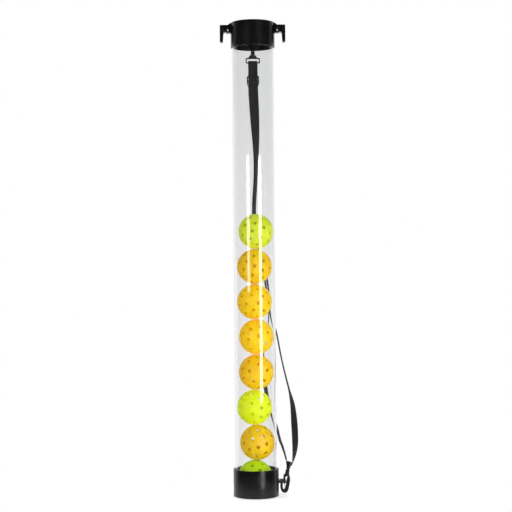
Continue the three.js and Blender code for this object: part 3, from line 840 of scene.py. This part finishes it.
def snap_body(prefix, place):
    """The cast hook, the barrel that the eye turns in and the two ears that hold the gate."""
    outside = [(-7.6, 27.3), (-9.0, 24.5), (-10.6, 20.5), (-10.8, 15.5), (-9.6, 10), (-7.4, 5.2), (-4.6, 1.9),
               (-1.2, 0.4), (2.2, 0.5), (5.2, 2.2), (7.4, 6), (8.4, 12), (8.6, 20), (8.2, 31), (6.4, 36)]
    head = [(4.9, 39.5), (-1, 39.5), (-1, 37.6), (0.9, 36.6), (1.3, 34)]
    inside = [(1.1, 30), (1.0, 22), (0.8, 14), (-0.2, 10), (-1.4, 8.2), (-2.8, 8.6), (-4.4, 12),
              (-5.3, 17), (-5.0, 21.5), (-3.6, 25), (-3.3, 27.6)]
    tip = arc(-4.4, 27.6, 1.1, 0, 90, 3) + arc(-6.5, 27.6, 1.1, 90, 165, 3)
    hook = rounded_outline(outside + head + inside) + tip
    body = plate("bend", hook, [], 5, 1.5, METAL, place @ in_xz(), steps=3)
    wall = [(2.3, 44), (3.9, 44), (4.75, 43.2), (4.75, 42.2), (4.45, 41.9), (4.45, 39.8), (4.75, 39.4),
            (4.75, 38.2), (4.1, 37.5), (3.4, 37.5), (3.4, 41), (2.3, 41)]
    barrel = lathe("barrel", in_metres(wall), METAL, segments=48)
    barrel.data.transform(place)
    parts = [body, barrel]
    ear = [(-6.9, 33.6), (-2.6, 33.6), (2, 38), (2.2, 40.4), (-3.8, 40.4), (-6.9, 37.6)]
    for side in (-1, 1):
        shift = in_xz((0, side * 3.4 * MM, 0))
        hole = arc(*PIVOT, 1.0, 0, 330, 11)
        parts.append(plate("ear", ear, [hole], 1.2, 0.3, METAL, place @ shift))
    piece = merge(f"{prefix}_snap_casting", parts)
    stand_for(piece, f"{prefix}_snap_body", "root")
    return piece


def gate_lever(prefix, place):
    """The lever that closes the hook."""
    lever = arc(*PIVOT, 1.8, 0, 180, 8)
    lever += [(-6.4, 31)] + arc(-5.4, 30.6, 1.0, 180, 270, 3)
    lever += [(-3.8, 29.6)] + arc(-3.6, 30.6, 1.0, 270, 360, 3)
    hole = arc(*PIVOT, 1.0, 0, 330, 11)
    gate = plate(f"{prefix}_gate_lever", lever, [hole], 5, 0.6, METAL, place @ in_xz())
    stand_for(gate, f"{prefix}_snap_gate", f"{prefix}_gate")
    return gate


def gate_rivet(prefix, at_pivot):
    """The headed pin that the lever turns on."""
    shape = [(0, -4.5), (1.2, -4.4), (1.3, -4.05), (0.8, -4.0),
             (0.8, 4.0), (1.3, 4.05), (1.2, 4.4), (0, 4.5)]
    pin = lathe(f"{prefix}_gate_rivet", in_metres(shape), METAL, segments=24, closed=False)
    pin.data.transform(at_pivot)
    stand_for(pin, f"{prefix}_gate_pin", "root")
    return pin


def gate_spring(prefix, at_pivot):
    spring = coil(f"{prefix}_gate_coil", at_pivot)
    stand_for(spring, f"{prefix}_gate_spring", "root")
    return spring


def snap_gate(prefix, place):
    x, z = PIVOT
    at_pivot = place @ Matrix.Translation((x * MM, 0, z * MM)) @ Matrix.Rotation(math.pi / 2, 4, "X")
    return [gate_lever(prefix, place), gate_rivet(prefix, at_pivot), gate_spring(prefix, at_pivot)]


def coil(name, place, radius=1.45, wire=0.35, turns=2.5, rise=1.8):
    """A small torsion spring, wound round Z. Its sizes are in millimetres."""
    bm = bmesh.new()
    sides, steps = 8, 60
    rows = []
    for i in range(steps + 1):
        angle = 2 * math.pi * turns * i / steps
        centre = Vector((radius * math.cos(angle), radius * math.sin(angle), rise * (i / steps - 0.5)))
        out = Vector((math.cos(angle), math.sin(angle), 0))
        ring = []
        for k in range(sides):
            a = 2 * math.pi * k / sides
            up = Vector((0, 0, wire * math.sin(a)))
            ring.append(bm.verts.new((centre + out * wire * math.cos(a) + up) * MM))
        rows.append(ring)
    for a, b in zip(rows, rows[1:]):
        for k in range(sides):
            n = (k + 1) % sides
            bm.faces.new((a[k], a[n], b[n], b[k]))
    bm.faces.new(reversed(rows[0]))
    bm.faces.new(rows[-1])
    bmesh.ops.transform(bm, matrix=place, verts=bm.verts)
    return from_bmesh(name, bm, METAL, angle=60)


def swivel_eye(prefix, place, depth, neck):
    """The frame that the webbing goes round, with a stem that turns in the barrel.

    depth is how thick the frame is, and neck is the stem's radius inside it.
    """
    outline = [(-5.6, 44.4), (5.6, 44.4), (7.8, 47.0), (9.8, 50.8), (14.4, 51.0)]
    outline += arc(14.4, 52.6, 1.6, -90, 0, 4)
    outline += arc(14.4, 61.4, 1.6, 0, 90, 4)
    outline += [(-x, y) for x, y in reversed(outline[2:])]
    window = arc(12.3, 54.6, 1.2, -90, 0, 4) + arc(12.3, 59.3, 1.2, 0, 90, 4)
    window += [(-x, y) for x, y in reversed(window)]
    right = [(1.6, 46.5), (4.3, 46.5), (7.1, 50.4), (1.6, 50.4)]
    left = [(-x, y) for x, y in reversed(right)]
    ring = plate("ring", outline, [window, right, left], depth, 1.1, METAL, place @ in_yz(), steps=3)
    turned = [(0, 39.2), (2.7, 39.2), (3.0, 39.5), (3.0, 40.6), (1.9, 40.7), (1.9, 44.3), (neck, 44.4),
              (neck, 49.6), (0, 51)]
    stem = lathe("stem", in_metres(turned), METAL, segments=32, closed=False)
    stem.data.transform(place)
    piece = merge(f"{prefix}_eye_ring", [ring, stem])
    stand_for(piece, f"{prefix}_swivel_eye", f"{prefix}_eye")
    return piece


def snap_hook(prefix, place, eye_depth, neck):
    return [snap_body(prefix, place), *snap_gate(prefix, place), swivel_eye(prefix, place, eye_depth, neck)]


# The lower hook leans out from its bend. The upper one hangs upside down from its bend.
FOOT_LEAN = math.radians(9.35)
FOOT_BEND = (58.55 * MM, 0, 5.3 * MM)
TOP_BEND = (0, TOP_BAR * MM, 985 * MM)
FOOT_PLACE = Matrix.Translation(FOOT_BEND) @ Matrix.Rotation(FOOT_LEAN, 4, "Y")
TOP_PLACE = basis((0, 1, 0), (1, 0, 0), (0, 0, -1), TOP_BEND)
top_snap = snap_hook("top", TOP_PLACE, eye_depth=3, neck=1.3)
foot_snap = snap_hook("bottom", FOOT_PLACE, eye_depth=5.8, neck=4.3)


# ---- sewn ends and the slider ----
def map_weave(piece, place):
    """Lays the weave on a plate: across is its depth, and along is its outline's y, in millimetres."""
    mesh = piece.data
    uv = mesh.uv_layers.new(name="weave")
    inverse = place.inverted()
    for polygon in mesh.polygons:
        for index in polygon.loop_indices:
            local = inverse @ mesh.vertices[mesh.loops[index].vertex_index].co
            uv.data[index].uv = (local.z / MM, local.y / MM)


def sewn_loop(name, outline, hole, place):
    """A folded, sewn end of the webbing, as wide as the strap."""
    piece = plate(name, outline, [hole], STRAP_WIDTH, 0.5, WEB, place, angle=50, steps=2)
    map_weave(piece, place)
    return piece


def stitches(name, rows, place, out):
    """Rows of short thread stitches on both faces of a band, each from one point to another.

    All is in millimetres, and out is how far each face is from the middle.
    """
    pitch = 2.4
    stitch = Matrix.Diagonal((0.95 * MM, 0.28 * MM, 0.2 * MM, 1))
    bm = bmesh.new()
    for (x0, y0), (x1, y1) in rows:
        length = math.hypot(x1 - x0, y1 - y0)
        count = max(1, round(length / pitch))
        for i in range(count):
            middle = (i + 0.5) / count
            centre = (x0 + (x1 - x0) * middle, y0 + (y1 - y0) * middle)
            heading = math.atan2(y1 - y0, x1 - x0)
            for face in (-1, 1):
                spot = Matrix.Translation((centre[0] * MM, centre[1] * MM, face * out * MM))
                local = spot @ Matrix.Rotation(heading, 4, "Z") @ stitch
                bmesh.ops.create_icosphere(bm, subdivisions=2, radius=1, matrix=place @ local)
    return from_bmesh(name, bm, THREAD, angle=60)


def box_stitch(low, high, half=7.6):
    """The rows of a sewn box with its two diagonals."""
    corners = [(-half, low), (half, low), (half, high), (-half, high)]
    sides = [(corners[i], corners[(i + 1) % 4]) for i in range(4)]
    return sides + [(corners[0], corners[2]), (corners[1], corners[3])]


def top_sewn_end():
    """The end round the upper eye, set in place on no moving body."""
    skin, reach = 3.1, 1.8
    shape = arc(0, 60.5, skin, 0, -180, 10)
    shape += [(-skin, 64.5), (-2.3, 67.5), (-1.4, 70), (-1.35, 80)]
    shape += [(1.35, 80), (1.4, 70), (2.3, 67.5), (skin, 64.5)]
    hole = arc(0, 60.8, reach, 0, -180, 8)
    hole += [(-reach, 64.6), (-0.8, 67.2), (0, 68.4), (0.8, 67.2), (reach, 64.6)]
    loop = sewn_loop("strap_sewn_end_top", shape, hole, TOP_PLACE @ in_xz())
    seam = stitches("top_stitching", box_stitch(71, 78.6), TOP_PLACE @ in_yz(), 1.4)
    for piece in (loop, seam):
        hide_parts("strap_top_loop")
        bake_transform(piece)
    return [loop, seam]


def foot_turn():
    """The strap's turn round the lower eye's bar."""
    loop, _ = band("strap_turn_foot", BOTTOM_LOOP, 60, FOOT_PLACE)
    stand_for(loop, "strap_bottom_loop", "bottom_eye")
    return loop


def foot_folds():
    """The folded webbing packed into the turn, above the lower eye's bar and below it."""
    above = [(-4.2, 64.4), (-3.4, 63.5), (5.6, 63.5), (6.5, 64.4), (6.3, 65.4), (-3.2, 66.8), (-4.2, 66.0)]
    below = [(-3.9, 55.0), (-3.0, 54.2), (3.8, 54.2), (4.6, 55.0), (4.2, 56.6), (1.5, 57.3), (-2.8, 57.0)]
    place = FOOT_PLACE @ in_xz()
    folds = []
    for word, shape in (("above", above), ("below", below)):
        fold = plate(f"strap_fold_{word}", shape, [], STRAP_WIDTH - 2, 0.7, WEB, place, angle=50, steps=3)
        map_weave(fold, place)
        stand_for(fold, "strap_bottom_loop", "bottom_eye")
        folds.append(fold)
    return folds


# The slider's middle, and in millimetres half its height and half its middle bar's height.
SLIDER_CENTRE = (slider_low + slider_high) / 2
SLIDER_HALF = (slider_high.z - slider_low.z) / 2 / MM
SLIDER_BAR = 1.8


def slider_frame():
    """Three bars and two slots, with its lower corners cut off."""
    half_w, half_h, bar = 14, SLIDER_HALF, SLIDER_BAR
    side = STRAP_WIDTH / 2 + 0.6
    rail = 3.6
    corner = 2.5
    shape = [(-half_w, -half_h + 6), (-half_w + 3, -half_h), (half_w - 3, -half_h), (half_w, -half_h + 6)]
    shape += arc(half_w - corner, half_h - corner, corner, 0, 90, 5)
    shape += arc(corner - half_w, half_h - corner, corner, 90, 180, 5)
    slots = [rounded_box(-side, side, low, high, 0.8, 3)
             for low, high in ((-half_h + rail, -bar), (bar, half_h - rail))]
    piece = plate("slider_frame", shape, slots, 2, 0.35, METAL, in_xz(SLIDER_CENTRE))
    stand_for(piece, "strap_slider", "slider")
    return piece


def slider_sewn_end():
    """The end round the slider's middle bar, which moves with the slider."""
    half, skin = 1.3, 2.3
    top, low = SLIDER_BAR + 0.3, -SLIDER_HALF - 3
    shape = [(-skin, low), (-1.1, low - 5), (-1.1, low - 18), (1.1, low - 18), (1.1, low - 5), (skin, low)]
    shape += arc(0, top, skin, 0, 180, 8)
    hole = [(-half, low), (0, low - 2.6), (half, low)] + arc(0, top - 0.2, half, 0, 180, 6)
    loop = sewn_loop("strap_sewn_end_slider", shape, hole, in_yz(SLIDER_CENTRE))
    seam = stitches("slider_stitching", box_stitch(low - 16.5, low - 7), in_xz(SLIDER_CENTRE), 1.15)
    for part in (loop, seam):
        stand_for(part, "strap_slider_loop", "slider")
    return [loop, seam]


top_end = top_sewn_end()
foot_end = foot_turn()
foot_filling = foot_folds()
slider_parts = [slider_frame(), *slider_sewn_end()]


def lower_blend(piece):
    """Puts the piece's place into its mesh."""
    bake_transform(piece)


lower_blend(main_piece)
lower_blend(return_piece)


# ---- stage and light ----
ROOM_LEVEL = 0.07
DIFFUSE_LEVEL = 0.9
# How far back a direction has to point for the room to start to give way to the backdrop, and to be all
# backdrop: the Y of a unit vector.
ROOM_ENDS = 0.1
BACKDROP_STARTS = 0.6
FLOOR_RADIUS = 0.17
SOFTBOX_DISTANCE = 2.0
SOFTBOX_WIDTH = 0.55


def floor():
    """A small white disc just under the object, which catches its contact shadow."""
    n = Nodes("floor_white")
    place = n.coordinates()
    paint = n.mix(n.spread(n.noise(place, scale=3), 0, 1), (0.93, 0.93, 0.93), (0.96, 0.96, 0.96))
    n.link(paint, n.shader.inputs["Base Color"])
    n.shader.inputs["Roughness"].default_value = 0.9
    n.shader.inputs["Specular IOR Level"].default_value = 0.1
    n.shader.inputs["Emission Color"].default_value = (1, 1, 1, 1)
    n.shader.inputs["Emission Strength"].default_value = 0.4
    bm = bmesh.new()
    bmesh.ops.create_circle(bm, cap_ends=True, segments=96, radius=FLOOR_RADIUS)
    obj = from_bmesh("floor", bm, n.material)
    obj.location.z = -0.5 * MM


def softbox(name, azimuth, low, high, power):
    """An upright strip of light, azimuth degrees round from the camera's side, facing the axis.

    It makes highlights and adds no diffuse light.
    """
    data = bpy.data.lights.new(name, "AREA")
    data.shape = "RECTANGLE"
    data.size = SOFTBOX_WIDTH
    data.size_y = high - low
    data.energy = power
    light = bpy.data.objects.new(name, data)
    SCENE.collection.objects.link(light)
    turn = math.radians(azimuth)
    across, back = SOFTBOX_DISTANCE * math.sin(turn), -SOFTBOX_DISTANCE * math.cos(turn)
    light.location = (across, back, (low + high) / 2)
    light.rotation_euler = (math.radians(90), 0, turn)
    light.visible_diffuse = False


def sky():
    """A white backdrop behind, as far as the sides, and a dim room in front, which shows in reflections.

    Straight through the tube, all is white from every side. Diffuse light is even.
    """
    world = bpy.data.worlds.new("studio")
    SCENE.world = world
    world.use_nodes = True
    world.cycles.sampling_method = "NONE"
    tree = world.node_tree
    background = tree.nodes["Background"]
    background.inputs["Color"].default_value = (1, 1, 1, 1)
    path = tree.nodes.new("ShaderNodeLightPath")
    direction = tree.nodes.new("ShaderNodeTexCoord")
    split = tree.nodes.new("ShaderNodeSeparateXYZ")
    tree.links.new(direction.outputs["Generated"], split.inputs["Vector"])
    backdrop = tree.nodes.new("ShaderNodeMapRange")
    backdrop.inputs["From Min"].default_value = ROOM_ENDS
    backdrop.inputs["From Max"].default_value = BACKDROP_STARTS
    backdrop.inputs["To Min"].default_value = ROOM_LEVEL
    backdrop.inputs["To Max"].default_value = 1.0
    tree.links.new(split.outputs["Y"], backdrop.inputs["Value"])

    def calculate(operation, first, second):
        node = tree.nodes.new("ShaderNodeMath")
        node.operation = operation
        tree.links.new(first, node.inputs[0])
        if isinstance(second, float):
            node.inputs[1].default_value = second
        else:
            tree.links.new(second, node.inputs[1])
        return node.outputs[0]

    def level(condition, value, otherwise):
        node = tree.nodes.new("ShaderNodeMix")
        node.data_type = "FLOAT"
        tree.links.new(condition, node.inputs["Factor"])
        tree.links.new(otherwise, node.inputs["A"])
        node.inputs["B"].default_value = value
        return node.outputs["Result"]

    # The ray that meets the background counts itself, so a straight way through counts 1.
    turned = calculate("SUBTRACT", path.outputs["Ray Depth"], path.outputs["Transmission Depth"])
    straight = calculate("LESS_THAN", turned, 1.5)
    diffuse = calculate("GREATER_THAN", path.outputs["Diffuse Depth"], 0.5)
    strength = level(diffuse, DIFFUSE_LEVEL, backdrop.outputs["Result"])
    strength = level(straight, 1.0, strength)
    tree.links.new(strength, background.inputs["Strength"])


floor()
sky()
softbox("strip_left", azimuth=-32, low=0.39, high=0.87, power=4.6)
softbox("strip_right", azimuth=34, low=0.0, high=0.87, power=13.5)
softbox("strip_low", azimuth=33, low=-0.50, high=-0.26, power=6)
SCENE.view_settings.view_transform = "Standard"
SCENE.view_settings.look = "None"
